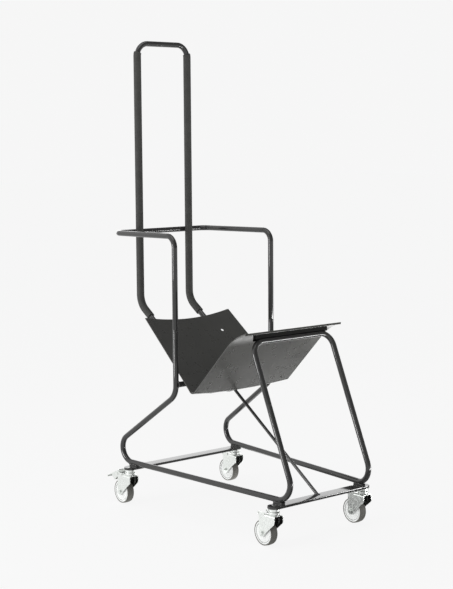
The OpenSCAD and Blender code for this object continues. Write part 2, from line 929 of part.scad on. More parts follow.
module wheel_centre(c) {
    color(wheel_grey)
        at_axle(c)
            difference() {
                rotate_extrude()
                    wheel_section();
                cylinder(d = sleeve_od + slip, h = 2 * hub_w, center = true);
            }
}

// The tyre fills the channel between the rim lips and crowns slightly at the tread
module tyre(c) {
    crown_x = tyre_r - tyre_crown_r;
    color(rubber)
        at_axle(c)
            rotate_extrude()
                difference() {
                    intersection() {
                        translate([rim_r, -tyre_w / 2])
                            square([tyre_t, tyre_w]);
                        translate([crown_x, 0])
                            circle(r = tyre_crown_r);
                    }
                    for (s = [-1, 1])
                        translate([rim_r - overrun, s * (tyre_w - rim_lip_w) / 2 - rim_lip_w / 2])
                            square([rim_lip + overrun, rim_lip_w]);
                }
}

module at_pedal(c) {
    translate([c[1][0] - ear_back, c[1][1], ear_z])
        children();
}

// Side view of the pedal in its own slope: cheeks about the pin, and the shoe bar they carry
module pedal_cheek() {
    polygon([
        [pedal_front, pedal_rise], [ear_r, 0], [0, -ear_r], [-shoe_back, -shoe_drop - shoe_r],
        [-shoe_back - shoe_r, -shoe_drop], [-pedal_flange_l, pedal_rise]
    ]);
    circle(r = ear_r);
    translate([-shoe_back, -shoe_drop])
        circle(r = shoe_r);
}

// Foot pedal: a folded tread with a turned-down toe, two cheeks on the pin and a bar over the tyre
module brake_pedal() {
    color(zinc)
        at_pedal(braked)
            rotate([0, -pedal_slope, 0])
                difference() {
                    union() {
                        translate([-pedal_l, -pedal_w / 2, pedal_rise - pedal_t])
                            cube([pedal_l + pedal_front, pedal_w, pedal_t]);
                        translate([-pedal_l, -pedal_w / 2, pedal_rise - pedal_toe_h])
                            cube([pedal_t, pedal_w, pedal_toe_h]);
                        for (side = [-1, 1])
                            translate([0, side * (pedal_w - pedal_t) / 2, 0])
                                rotate([90, 0, 0])
                                    linear_extrude(height = pedal_t, center = true)
                                        pedal_cheek();
                        translate([-shoe_back, 0, -shoe_drop])
                            rotate([90, 0, 0])
                                cylinder(r = shoe_r, h = pedal_w - pedal_t, center = true);
                    }
                    rotate([90, 0, 0])
                        cylinder(d = pin_d + slip, h = 2 * fork_w, center = true);
                }
}

module brake_pin() {
    color(zinc)
        at_pedal(braked)
            rotate([90, 0, 0]) {
                cylinder(d = pin_d, h = fork_w, center = true);
                for (side = [-1, 1])
                    translate([0, 0, side * (fork_w + pin_head_t) / 2])
                        cylinder(d = pin_head_d, h = pin_head_t, center = true);
            }
}

side_frame(1);  // side_frame_left
side_frame(-1);  // side_frame_right
arm_loop();
front_hoop();
joint_spigots();
joint_rivets();
rear_cross_tube();
front_cross_bar();
rear_cross_bar();
rail_pads();
brace_rod();
seat_plate();
lip_pad();
back_hoop();
hoop_sleeve(1);  // hoop_sleeve_left
hoop_sleeve(-1);  // hoop_sleeve_right
hoop_screws();
swivel_balls();
brake_pedal();
brake_pin();
for (c = CASTERS) {
    caster_head(c);
    fork(c);
    axle_sleeve(c);
    axle_bolt(c);
    axle_nut(c);
    wheel_centre(c);
    tyre(c);
}
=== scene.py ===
# %% [markdown]
# # Stacking chair trolley
# The solids of the trolley come in as a fixed frame. This lesson dresses them: tubes are bent again with
# smooth walls, hard edges are eased, small fasteners and welds are added, and each surface gets its finish.
# X points to the front, Y to the left and Z up.

# %% Load the frame
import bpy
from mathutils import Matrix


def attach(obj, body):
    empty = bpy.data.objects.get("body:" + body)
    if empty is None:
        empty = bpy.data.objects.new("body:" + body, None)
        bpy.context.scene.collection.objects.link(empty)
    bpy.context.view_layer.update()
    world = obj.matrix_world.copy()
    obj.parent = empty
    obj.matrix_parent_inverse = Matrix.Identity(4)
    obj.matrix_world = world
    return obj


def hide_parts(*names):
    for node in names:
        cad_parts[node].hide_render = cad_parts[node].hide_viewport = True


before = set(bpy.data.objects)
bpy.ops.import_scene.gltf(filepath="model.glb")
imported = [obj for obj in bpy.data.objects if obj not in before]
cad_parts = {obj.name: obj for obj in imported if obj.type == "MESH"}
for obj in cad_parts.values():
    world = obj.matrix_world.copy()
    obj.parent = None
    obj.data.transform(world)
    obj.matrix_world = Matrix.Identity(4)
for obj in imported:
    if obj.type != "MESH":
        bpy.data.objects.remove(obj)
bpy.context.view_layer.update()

# %% [markdown]
# ## Shared helpers
# Sizes of the trolley are written in millimetres, as on a drawing, and `point` and `MM` turn them into
# Blender's metres. An operator acts on all that is selected, so each piece starts by deselecting everything
# else. A modifier is added with its settings and applied at once, which leaves a plain mesh.

# %% Shared helpers
import math
import bpy
from mathutils import Matrix, Vector

MM = 0.001
MERGE = 0.00001


def point(x, y, z):
    """A place that is given in millimetres."""
    return Vector((x, y, z)) * MM


def clear_selection():
    """Leave edit mode and deselect everything."""
    if bpy.context.mode != "OBJECT":
        bpy.ops.object.mode_set(mode="OBJECT")
    bpy.ops.object.select_all(action="DESELECT")


def take(piece):
    """Make one piece the only one that is selected, and the active one."""
    clear_selection()
    piece.select_set(True)
    bpy.context.view_layer.objects.active = piece


def apply_modifier(piece, kind, **settings):
    take(piece)
    modifier = piece.modifiers.new(kind.title(), kind)
    for name, value in settings.items():
        setattr(modifier, name, value)
    bpy.ops.object.modifier_apply(modifier=modifier.name)


def smooth(piece, degrees=32):
    """Shade smoothly across edges that turn by less than the given angle."""
    take(piece)
    bpy.ops.object.shade_smooth_by_angle(angle=math.radians(degrees))
    return piece


# %% [markdown]
# ## Camera
# The photograph was taken from the front right, a little above the push arms. The place, the angles and the
# focal length were solved from the corners of the frame, so the render lies over the photograph.

# %% Camera
IMAGE_LONG_SIDE = 589
FOCAL_PIXELS = 1367.8
SENSOR_WIDTH = 36
AZIMUTH = math.radians(50.574)
PITCH = math.radians(6.583)
ROLL = math.radians(-0.408)
CAMERA_PLACE = point(3344.2, -2804.6, 1216.0)

back = Vector((
    math.sin(AZIMUTH) * math.cos(PITCH), -math.cos(AZIMUTH) * math.cos(PITCH), math.sin(PITCH)
))
lens = bpy.data.cameras.new("camera")
lens.sensor_fit = "AUTO"
lens.sensor_width = SENSOR_WIDTH
lens.lens = FOCAL_PIXELS / IMAGE_LONG_SIDE * SENSOR_WIDTH
camera = bpy.data.objects.new("camera", lens)
bpy.context.scene.collection.objects.link(camera)
camera.rotation_mode = "QUATERNION"
camera.location = CAMERA_PLACE
level = (-back).to_track_quat("-Z", "Y")
camera.rotation_quaternion = level @ Matrix.Rotation(ROLL, 3, "Z").to_quaternion()
bpy.context.scene.camera = camera
print("camera lens", round(lens.lens, 1), "mm")

# %% [markdown]
# ## Floor
# The photograph is a bright studio shot on white, with no clear shadow. A floor that only reflects light
# would show one, so this floor is dark but glows evenly, which keeps shadows faint and lights the
# undersides.

# %% Floor
FLOOR_SIZE = 60
FLOOR_PLACE = point(0, 0, -0.5)
FLOOR_COLOUR = (0.06, 0.06, 0.06, 1)
FLOOR_ROUGH = 0.9
FLOOR_GLOW = 0.885
WHITE = (1, 1, 1, 1)

clear_selection()
bpy.ops.mesh.primitive_plane_add(size=FLOOR_SIZE, location=FLOOR_PLACE)
floor = bpy.context.object
floor.name = "floor"
floor_finish = bpy.data.materials.new("pale_floor")
floor_finish.use_nodes = True
floor_shader = floor_finish.node_tree.nodes["Principled BSDF"]
floor_shader.inputs["Base Color"].default_value = FLOOR_COLOUR
floor_shader.inputs["Roughness"].default_value = FLOOR_ROUGH
floor_shader.inputs["Specular IOR Level"].default_value = 0
floor_shader.inputs["Emission Color"].default_value = WHITE
floor_shader.inputs["Emission Strength"].default_value = FLOOR_GLOW
floor.data.materials.append(floor_finish)
print("floor", FLOOR_SIZE, "m wide")

# %% [markdown]
# ## World
# Glossy tubes show mostly what stands around them, so the world is the main light. Its strength follows the
# direction: bright on the left, fair in the middle and dim on the right, which draws a light strip along
# the left of each tube, with one more bright patch at the back for the surfaces that face away. A curve
# over the direction is easier to tune than a picture of a studio. The camera itself sees an even white.

# %% Light by direction
TOWARD_LEFT = (-0.635, -0.772, 0.0)
TOWARD_BACK = (-0.772, 0.635, 0.0)
SIDE_LIGHT = ((0.0, 0.25), (0.34, 0.30), (0.5, 0.5), (0.68, 1.1), (1.0, 1.5))
SIDE_LIGHT_TOP = 2
BACK_LIGHT = {"From Min": 0.75, "From Max": 0.95, "To Max": 2.0}

world = bpy.data.worlds.new("studio")
bpy.context.scene.world = world
world.use_nodes = True
sky = world.node_tree
sky.nodes.clear()
toward = sky.nodes.new("ShaderNodeTexCoord").outputs["Generated"]


def facing(direction):
    """How closely a direction of the sky agrees with the given one, from -1 to 1."""
    node = sky.nodes.new("ShaderNodeVectorMath")
    node.operation = "DOT_PRODUCT"
    node.inputs[1].default_value = direction
    sky.links.new(toward, node.inputs[0])
    return node.outputs["Value"]


def ranged(value, limits):
    node = sky.nodes.new("ShaderNodeMapRange")
    for socket, limit in limits.items():
        node.inputs[socket].default_value = limit
    sky.links.new(value, node.inputs["Value"])
    return node


side_light = sky.nodes.new("ShaderNodeFloatCurve")
side_light.mapping.clip_max_y = SIDE_LIGHT_TOP
curve = side_light.mapping.curves[0]
for place in SIDE_LIGHT[1:-1]:
    curve.points.new(*place)
curve.points[0].location = SIDE_LIGHT[0]
curve.points[len(curve.points) - 1].location = SIDE_LIGHT[-1]
side_light.mapping.update()
sky.links.new(ranged(facing(TOWARD_LEFT), {"From Min": -1}).outputs["Result"], side_light.inputs["Value"])
back_light = ranged(facing(TOWARD_BACK), BACK_LIGHT)
back_light.interpolation_type = "SMOOTHSTEP"
brightness = sky.nodes.new("ShaderNodeMath")
brightness.operation = "ADD"
sky.links.new(side_light.outputs["Value"], brightness.inputs[0])
sky.links.new(back_light.outputs["Result"], brightness.inputs[1])
print("light from the side and from the back")

# %% What the camera sees
BACKDROP = (0.923, 0.923, 0.923, 1)
studio = sky.nodes.new("ShaderNodeBackground")
sky.links.new(brightness.outputs["Value"], studio.inputs["Strength"])
backdrop = sky.nodes.new("ShaderNodeBackground")
backdrop.inputs["Color"].default_value = BACKDROP
rays = sky.nodes.new("ShaderNodeLightPath")
seen = sky.nodes.new("ShaderNodeMixShader")
sky.links.new(rays.outputs["Is Camera Ray"], seen.inputs["Fac"])
sky.links.new(studio.outputs["Background"], seen.inputs[1])
sky.links.new(backdrop.outputs["Background"], seen.inputs[2])
out = sky.nodes.new("ShaderNodeOutputWorld")
sky.links.new(seen.outputs["Shader"], out.inputs["Surface"])
print("world:", len(sky.nodes), "nodes")

# %% [markdown]
# ## Softboxes
# Three area lamps stand for the softboxes of the studio: a large one on the left, one overhead, and a
# narrow one on the floor that shines up at the undersides. The camera doesn't see them.

# %% Softboxes
def softbox(name, place, target, width, height, watts):
    light = bpy.data.lights.new(name, "AREA")
    light.shape = "RECTANGLE"
    light.size = width
    light.size_y = height
    light.energy = watts
    lamp = bpy.data.objects.new(name, light)
    bpy.context.scene.collection.objects.link(lamp)
    lamp.location = place
    lamp.rotation_euler = (Vector(target) - Vector(place)).to_track_quat("-Z", "Y").to_euler()
    lamp.visible_camera = False


softbox("softbox_left", place=(-1.0, -3.6, 0.65), target=(0, 0, 0.65), width=1.2, height=1.3, watts=60)
softbox("softbox_top", place=(0.4, -0.4, 3.4), target=(0, 0, 0.6), width=2.2, height=2.2, watts=25)
softbox("softbox_low", place=(0.95, 0.85, 0.01), target=(0.95, 0.85, 1), width=0.24, height=1.0, watts=28)
bpy.context.scene.view_settings.view_transform = "Standard"
print("three softboxes")

# %% [markdown]
# ## Studio cards
# A photographer lays white and black cards round a glossy object, to shape what it mirrors. The camera looks
# at the underside of the front wing, which mirrors the floor on the far side of the trolley, so cards there
# put a pale sheen on one part of the wing and keep the rest dark. They don't show in matt surfaces, and they
# cast no shadow.

# %% Studio cards
CARD_COLOUR = (0.01, 0.01, 0.01, 1)


def card(name, place, size, glow):
    """A sheet on the floor that shows up in glossy surfaces only."""
    clear_selection()
    bpy.ops.mesh.primitive_plane_add(size=1, location=(*place, 0), scale=(*size, 1))
    sheet = bpy.context.object
    sheet.name = name
    finish = bpy.data.materials.new(name)
    finish.use_nodes = True
    shader = finish.node_tree.nodes["Principled BSDF"]
    shader.inputs["Base Color"].default_value = CARD_COLOUR
    shader.inputs["Emission Color"].default_value = WHITE
    shader.inputs["Emission Strength"].default_value = glow
    sheet.data.materials.append(finish)
    sheet.visible_camera = sheet.visible_diffuse = sheet.visible_shadow = False


card("white_card", place=(0.10, 0.63), size=(0.20, 0.40), glow=1.9)
card("long_white_card", place=(-0.40, 1.40), size=(0.67, 1.9), glow=2.6)
card("side_black_card", place=(0.36, 0.28), size=(0.72, 0.30), glow=0.08)
card("front_black_card", place=(0.46, 1.12), size=(0.52, 1.38), glow=0.12)
card("back_black_card", place=(-1.45, 1.25), size=(1.4, 1.3), glow=0.12)
print("five cards")

# %% [markdown]
# ## Finishes
# No real surface is even. Each finish is a small set of nodes on Object coordinates: a colour that varies a
# little, a gloss that varies with it, and a fine bump at the scale of the real surface. Noise gives all
# three without a picture, and its size is given in millimetres.

# %% Finish helpers
FINISHES = {}
PATTERN_LOW, PATTERN_HIGH = 0.3, 0.7


def start_finish(slot):
    finish = bpy.data.materials.new(slot)
    finish.use_nodes = True
    FINISHES[slot] = finish
    tree = finish.node_tree
    place = tree.nodes.new("ShaderNodeTexCoord").outputs["Object"]
    return tree, tree.nodes["Principled BSDF"], place


def noise(tree, place, size_mm, detail=3):
    """A cloudy pattern with features of about size_mm."""
    texture = tree.nodes.new("ShaderNodeTexNoise")
    texture.inputs["Scale"].default_value = 1 / (size_mm * MM)
    texture.inputs["Detail"].default_value = detail
    tree.links.new(place, texture.inputs["Vector"])
    return texture.outputs["Fac"]


def spread(tree, value, low, high):
    """Map the middle of a pattern onto a range of numbers."""
    node = tree.nodes.new("ShaderNodeMapRange")
    node.inputs["From Min"].default_value = PATTERN_LOW
    node.inputs["From Max"].default_value = PATTERN_HIGH
    node.inputs["To Min"].default_value = low
    node.inputs["To Max"].default_value = high
    tree.links.new(value, node.inputs["Value"])
    return node.outputs["Result"]


def tint(tree, value, dark, light):
    """Map the middle of a pattern onto two colours."""
    node = tree.nodes.new("ShaderNodeValToRGB")
    node.color_ramp.elements[0].position = PATTERN_LOW
    node.color_ramp.elements[0].color = (*dark, 1)
    node.color_ramp.elements[1].position = PATTERN_HIGH
    node.color_ramp.elements[1].color = (*light, 1)
    tree.links.new(value, node.inputs["Fac"])
    return node.outputs["Color"]


def bump(tree, shader, height, depth_mm):
    node = tree.nodes.new("ShaderNodeBump")
    node.inputs["Distance"].default_value = depth_mm * MM
    node.inputs["Strength"].default_value = 1
    tree.links.new(height, node.inputs["Height"])
    tree.links.new(node.outputs["Normal"], shader.inputs["Normal"])


def cloudy_finish(slot, cloud, dark, light, gloss_mm, rough, grain, depth_mm, surface=()):
    """A finish from three patterns; cloud and grain are a size in millimetres and a detail."""
    tree, shader, place = start_finish(slot)
    tree.links.new(tint(tree, noise(tree, place, *cloud), dark, light), shader.inputs["Base Color"])
    tree.links.new(spread(tree, noise(tree, place, gloss_mm), *rough), shader.inputs["Roughness"])
    bump(tree, shader, noise(tree, place, *grain), depth_mm)
    for socket, value in dict(surface).items():
        shader.inputs[socket].default_value = value


# %% [markdown]
# ## Paint and powder coat
# The tubes are painted gloss black, smooth with a faint orange peel. The plate has a satin powder coat,
# which is rougher and has a finer grain.

# %% Paint and powder coat
cloudy_finish(
    "frame_paint", cloud=(60, 4), dark=(0.025, 0.025, 0.025), light=(0.031, 0.031, 0.030),
    gloss_mm=35, rough=(0.07, 0.12), grain=(5, 2), depth_mm=0.004,
)
cloudy_finish(
    "plate_coat", cloud=(90, 4), dark=(0.036, 0.036, 0.033), light=(0.043, 0.043, 0.039),
    gloss_mm=25, rough=(0.26, 0.34), grain=(0.9, 2), depth_mm=0.002, surface={"IOR": 1.65},
)
print("finishes:", ", ".join(FINISHES))

# %% [markdown]
# ## Sleeves, strip and tyres
# The sleeves on the hoop are soft and matt, the strip under the lip is rubber that hardly shines, with a
# near-black colour that is also painted shade for the gap under the lip, and the tyres are a warm grey
# rubber. Rubber differs from paint by its broad gloss and its deeper grain.

# %% Sleeves, strip and tyres
cloudy_finish(
    "sleeve_grey", cloud=(30, 4), dark=(0.034, 0.034, 0.032), light=(0.045, 0.045, 0.042),
    gloss_mm=6, rough=(0.62, 0.78), grain=(0.7, 3), depth_mm=0.05, surface={"Specular IOR Level": 0.35},
)
# The strip's near-black colour is partly painted shade: it stands in for the dark gap between the lip and the
# front bar.
cloudy_finish(
    "pad_rubber", cloud=(12, 3), dark=(0.0015, 0.0015, 0.0015), light=(0.003, 0.003, 0.003),
    gloss_mm=5, rough=(0.55, 0.7), grain=(0.8, 2), depth_mm=0.03, surface={"Specular IOR Level": 0.08},
)
cloudy_finish(
    "tyre_rubber", cloud=(14, 4), dark=(0.118, 0.116, 0.104), light=(0.144, 0.142, 0.127),
    gloss_mm=5, rough=(0.55, 0.72), grain=(0.6, 3), depth_mm=0.03,
)
print("finishes:", ", ".join(FINISHES))

# %% [markdown]
# ## Zinc and wheel plastic
# The casters are bright zinc with a grain that runs up and down, and the wheel centres are white moulded
# plastic. Inside the forks a dark zinc colour is painted shade, standing in for the shade between the legs
# and the wheel; it is mixed in by an attribute named inside, which the forks carry on their faces. Other
# pieces don't have it and stay bright.

# %% Zinc and wheel plastic
GRAIN_STRETCH = (1, 1, 0.35)
MIX_FACTOR, MIX_FIRST, MIX_SECOND, MIX_RESULT = 0, 6, 7, 2

tree, shader, place = start_finish("zinc_plate")
shader.inputs["Metallic"].default_value = 1
stretched = tree.nodes.new("ShaderNodeMapping")
stretched.inputs["Scale"].default_value = GRAIN_STRETCH
tree.links.new(place, stretched.inputs["Vector"])
grain = noise(tree, stretched.outputs["Vector"], size_mm=2.2, detail=4)
bright = tint(tree, grain, dark=(0.72, 0.745, 0.72), light=(0.84, 0.865, 0.84))
# Painted shade: this dark zinc colour stands in for the shade inside the forks, between the legs and the
# wheel.
painted_shade = tint(tree, grain, dark=(0.09, 0.094, 0.09), light=(0.16, 0.166, 0.16))
inside = tree.nodes.new("ShaderNodeAttribute")
inside.attribute_name = "inside"
colour = tree.nodes.new("ShaderNodeMix")
colour.data_type = "RGBA"
tree.links.new(inside.outputs["Fac"], colour.inputs[MIX_FACTOR])
tree.links.new(bright, colour.inputs[MIX_FIRST])
tree.links.new(painted_shade, colour.inputs[MIX_SECOND])
tree.links.new(colour.outputs[MIX_RESULT], shader.inputs["Base Color"])
rough = spread(tree, noise(tree, place, size_mm=7), low=0.22, high=0.38)
tree.links.new(rough, shader.inputs["Roughness"])
bump(tree, shader, noise(tree, place, size_mm=1.2, detail=2), depth_mm=0.010)

cloudy_finish(
    "wheel_plastic", cloud=(20, 4), dark=(0.66, 0.67, 0.66), light=(0.74, 0.75, 0.74),
    gloss_mm=6, rough=(0.36, 0.48), grain=(0.5, 2), depth_mm=0.012,
)
print("finishes:", ", ".join(FINISHES))

# %% [markdown]
# ## Settling a piece
# Every finished piece takes its finish, rides on one body of the frame so that it moves with it, and hides
# the solids that it stands for. One helper does all of this, so no piece misses a step.

# %% Settling a piece
def settle(piece, body, slot, *nodes):
    piece.data.materials.clear()
    piece.data.materials.append(FINISHES[slot])
    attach(piece, body)
    if nodes:
        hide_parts(*nodes)


# %% [markdown]
# ## Bent tubes
# The frame is five bent steel tubes and a straight one. A tube bender clamps the tube and swings it round a
# die, and Spin does the same to a ring of edges, so each tube is a circle that is extruded along its
# straight runs and spun round its bends. A curve with a bevel would be quicker, but its corners aren't true
# arcs. Solidify then gives the wall, and a small bevel eases the cut ends, which leaves a fine groove at
# each push-fit joint.

# %% Tube helpers
TUBE_SIDES = 40
BEND_STEP = 4.5
FEWEST_STEPS = 4
CUT_END = math.radians(60)


def tube_moves(path, radii):
    """Straight runs and bends that follow a path of sharp corners."""
    moves = []
    here = path[0]
    for before, corner, after, radius in zip(path, path[1:], path[2:], radii):
        heading = (corner - before).normalized()
        leaving = (after - corner).normalized()
        swing = heading.angle(leaving)
        axis = heading.cross(leaving).normalized()
        setback = radius * MM * math.tan(swing / 2)
        start = corner - heading * setback
        moves.append(("run", start - here))
        moves.append(("bend", start + axis.cross(heading) * radius * MM, axis, swing))
        here = corner + leaving * setback
    moves.append(("run", path[-1] - here))
    return moves


def form_tube(name, start, moves, width, wall, ease):
    clear_selection()
    heading = moves[0][1].normalized()
    bpy.ops.mesh.primitive_circle_add(
        vertices=TUBE_SIDES, radius=width / 2 * MM, location=start,
        rotation=heading.to_track_quat("Z", "Y").to_euler(),
    )
    piece = bpy.context.object
    piece.name = piece.data.name = name
    bpy.ops.object.transform_apply()
    bpy.ops.object.mode_set(mode="EDIT")
    bpy.ops.mesh.select_all(action="SELECT")
    for kind, *move in moves:
        if kind == "run":
            bpy.ops.mesh.extrude_edges_move(TRANSFORM_OT_translate={"value": move[0]})
        else:
            centre, axis, swing = move
            steps = max(FEWEST_STEPS, round(math.degrees(swing) / BEND_STEP))
            bpy.ops.mesh.spin(steps=steps, angle=swing, center=centre, axis=-axis)
    bpy.ops.mesh.select_all(action="SELECT")
    bpy.ops.mesh.remove_doubles(threshold=MERGE)
    bpy.ops.object.mode_set(mode="OBJECT")
    face = piece.data.polygons[0]
    arm = face.center - start
    if (arm - heading * arm.dot(heading)).dot(face.normal) < 0:
        bpy.ops.object.mode_set(mode="EDIT")
        bpy.ops.mesh.flip_normals()
        bpy.ops.object.mode_set(mode="OBJECT")
    apply_modifier(piece, "SOLIDIFY", thickness=wall * MM, offset=-1)
    apply_modifier(
        piece, "BEVEL", width=ease * MM, segments=2, limit_method="ANGLE", angle_limit=CUT_END,
    )
    return smooth(piece)


# %% Corners of the tubes
TUBE_D, TUBE_WALL, END_EASE = 18, 2, 0.6
POST_X, POST_Y = -78.5, 201.5
KNEE_Z, RAIL_Z, ARM_Z, REAR_BAR_Z = 398, 143, 905, 899
FRONT_CORNER_X, FRONT_Y = 446.221, 162.5
FRONT_BAR_X, FRONT_BAR_Z = 247.785, 600
REAR_CORNER_X, REAR_Y = -449, 231
ARM_REAR_X, ARM_REAR_Y = -420, 191
CROSS_X, CROSS_Z = -70.5, 432.838
HOOP_X, HOOP_Y, HOOP_KNEE_Z, HOOP_TOP_Z = -398.3, 104.5, 656.447, 1526
POST_SEAM_Z, LEG_SEAM_Z = 608, 423
KNEE_R, REAR_R, FRONT_R = 60, 46, 50
ARM_R, FRONT_HOOP_R = 36, 42
HOOP_KNEE_R, HOOP_TOP_R = 60, 42
LEG_SLOPE = (FRONT_CORNER_X - FRONT_BAR_X) / (FRONT_BAR_Z - RAIL_Z)
SIDES = {"left": 1, "right": -1}


def post(side, z):
    """A place on the middle line of a post."""
    return point(POST_X, side * POST_Y, z)


def leg(side, z):
    """A place on the middle line of a front leg."""
    return point(FRONT_CORNER_X - (z - RAIL_Z) * LEG_SLOPE, side * FRONT_Y, z)


def steel_tube(name, path, radii, node):
    tube = form_tube(name, path[0], tube_moves(path, radii), TUBE_D, TUBE_WALL, END_EASE)
    settle(tube, "frame", "frame_paint", node)
    print(name, len(tube.data.polygons), "faces")


# %% Side frames
for word, side in SIDES.items():
    steel_tube(f"{word}_side_tube", [
        post(side, POST_SEAM_Z), post(side, KNEE_Z), point(REAR_CORNER_X, side * REAR_Y, RAIL_Z),
        point(FRONT_CORNER_X, side * FRONT_Y, RAIL_Z), leg(side, LEG_SEAM_Z),
    ], (KNEE_R, REAR_R, FRONT_R), f"side_frame_{word}")

# %% Push arms and front hoop
steel_tube("push_arm_tube", [
    post(-1, POST_SEAM_Z), post(-1, ARM_Z), point(ARM_REAR_X, -ARM_REAR_Y, REAR_BAR_Z),
    point(ARM_REAR_X, ARM_REAR_Y, REAR_BAR_Z), post(1, ARM_Z), post(1, POST_SEAM_Z),
], (ARM_R, ARM_R, ARM_R, ARM_R), "arm_loop")
steel_tube("front_hoop_tube", [
    leg(-1, LEG_SEAM_Z), leg(-1, FRONT_BAR_Z), leg(1, FRONT_BAR_Z), leg(1, LEG_SEAM_Z),
], (FRONT_HOOP_R, FRONT_HOOP_R), "front_hoop")

# %% Tall hoop and cross tube
steel_tube("tall_hoop_tube", [
    point(CROSS_X, -HOOP_Y, CROSS_Z), point(HOOP_X, -HOOP_Y, HOOP_KNEE_Z), point(HOOP_X, -HOOP_Y, HOOP_TOP_Z),
    point(HOOP_X, HOOP_Y, HOOP_TOP_Z), point(HOOP_X, HOOP_Y, HOOP_KNEE_Z), point(CROSS_X, HOOP_Y, CROSS_Z),
], (HOOP_KNEE_R, HOOP_TOP_R, HOOP_TOP_R, HOOP_KNEE_R), "back_hoop")
steel_tube("cross_tube", [
    point(CROSS_X, -POST_Y, CROSS_Z), point(CROSS_X, POST_Y, CROSS_Z),
], (), "rear_cross_tube")

# %% [markdown]
# ## Sleeves
# Two soft sleeves are pushed over the legs of the tall hoop, to spare the chairs. They follow the same
# bends, reach a little way into the top bends, and end above the plate. They are made as the tubes are,
# with a last short bend, and their ends are rounder than cut steel.

# %% Sleeves
SLEEVE_D, SLEEVE_PLAY, SLEEVE_EASE = 25.4, 0.05, 0.9
SLEEVE_WALL = (SLEEVE_D - TUBE_D) / 2 - SLEEVE_PLAY
SLEEVE_TAIL = 71
SLEEVE_WRAP = math.radians(17)
for word, side in SIDES.items():
    knee = point(HOOP_X, side * HOOP_Y, HOOP_KNEE_Z)
    foot = point(CROSS_X, side * HOOP_Y, CROSS_Z)
    tail = knee + (foot - knee).normalized() * SLEEVE_TAIL * MM
    neck = point(HOOP_X, side * HOOP_Y, HOOP_TOP_Z - HOOP_TOP_R)
    moves = tube_moves([tail, knee, neck], (HOOP_KNEE_R,))
    centre = neck - Vector((0, side * HOOP_TOP_R * MM, 0))
    moves.append(("bend", centre, Vector((side, 0, 0)), SLEEVE_WRAP))
    sleeve = form_tube(f"{word}_sleeve", tail, moves, SLEEVE_D, SLEEVE_WALL, SLEEVE_EASE)
    settle(sleeve, "frame", "sleeve_grey", f"hoop_sleeve_{word}")
    print(sleeve.name, len(sleeve.data.polygons), "faces")

# %% [markdown]
# ## Sheet, bars, pads and rod
# The plate, the flat bars, the pads and the rod have the right shape already, but their edges are razor
# sharp. A copy of each is merged and its flat faces are joined up, then a small bevel rounds every hard
# edge, so that the edges catch the light as folded and painted metal does. Weighted normals keep the large
# faces flat.

# %% Eased copies
HARD_EDGE = math.radians(30)
FLAT = math.radians(0.02)
SOFT_DEGREES = 40


def merged_copy(node, name):
    """A copy of a solid, with its loose triangles joined into flat faces."""
    piece = bpy.data.objects.new(name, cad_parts[node].data.copy())
    bpy.context.scene.collection.objects.link(piece)
    take(piece)
    bpy.ops.object.mode_set(mode="EDIT")
    bpy.ops.mesh.select_all(action="SELECT")
    bpy.ops.mesh.remove_doubles(threshold=MERGE)
    bpy.ops.mesh.dissolve_limited(angle_limit=FLAT)
    bpy.ops.object.mode_set(mode="OBJECT")
    return piece


def eased(piece, ease):
    apply_modifier(
        piece, "BEVEL", width=ease * MM, segments=2, limit_method="ANGLE", angle_limit=HARD_EDGE,
        use_clamp_overlap=False,
    )
    smooth(piece, SOFT_DEGREES)
    apply_modifier(piece, "WEIGHTED_NORMAL", keep_sharp=True)
    return piece


def ease_copy(node, name, ease):
    return eased(merged_copy(node, name), ease)


for node, name, ease, slot in (
    ("seat_plate", "folded_plate", 0.7, "plate_coat"),
    ("front_cross_bar", "front_flat_bar", 0.9, "frame_paint"),
    ("rear_cross_bar", "rear_flat_bar", 0.9, "frame_paint"),
    ("rail_pads", "rail_blocks", 0.6, "frame_paint"),
    ("brace_rod", "brace", 0.4, "frame_paint"),
):
    piece = ease_copy(node, name, ease)
    settle(piece, "frame", slot, node)
    print(name, len(piece.data.polygons), "faces")

# %% [markdown]
# ## Strip and hem under the lip
# A rubber strip lies between the front bar and the lip of the plate, and its near-black colour is also
# painted shade for the dark gap under the lip. Its solid already follows the lip, so a copy is stretched
# along the bar, and Bisect cuts it off just ahead of the middle of the bar, so that the bar shows below the
# lip. The edge of the lip is turned under as a hem: a cube at its size and place, with a bevel that makes it
# round.

# %% Strip and hem under the lip
STRIP_FRONT, STRIP_STRETCH, STRIP_EASE = 2, 1.17, 0.8
LIP_EDGE = point(260.2, 0, 627.3)
LIP_SLOPE = math.radians(14.5)
LIP_W, HEM_T, HEM_H = 396.6, 3.2, 6.6
HEM_EASE, HEM_STEPS = 1.3, 4
# This strip carries painted shade: its near-black colour stands for the gap under the lip.
strip = merged_copy("lip_pad", "lip_strip_and_shade")
strip.data.transform(Matrix.Diagonal((1, STRIP_STRETCH, 1, 1)))
bpy.ops.object.mode_set(mode="EDIT")
bpy.ops.mesh.select_all(action="SELECT")
bpy.ops.mesh.bisect(
    plane_co=point(FRONT_BAR_X + STRIP_FRONT, 0, 0), plane_no=(1, 0, 0), use_fill=True, clear_outer=True,
)
bpy.ops.object.mode_set(mode="OBJECT")
settle(eased(strip, STRIP_EASE), "frame", "pad_rubber", "lip_pad")

clear_selection()
bpy.ops.mesh.primitive_cube_add(
    size=1, location=LIP_EDGE, rotation=(0, -LIP_SLOPE, 0), scale=point(HEM_T, LIP_W, HEM_H),
)
hem = bpy.context.object
hem.name = hem.data.name = "lip_hem"
bpy.ops.object.transform_apply()
apply_modifier(hem, "BEVEL", width=HEM_EASE * MM, segments=HEM_STEPS)
settle(smooth(hem), "frame", "plate_coat")
print("strip", len(strip.data.polygons), "faces, hem", len(hem.data.polygons), "faces")

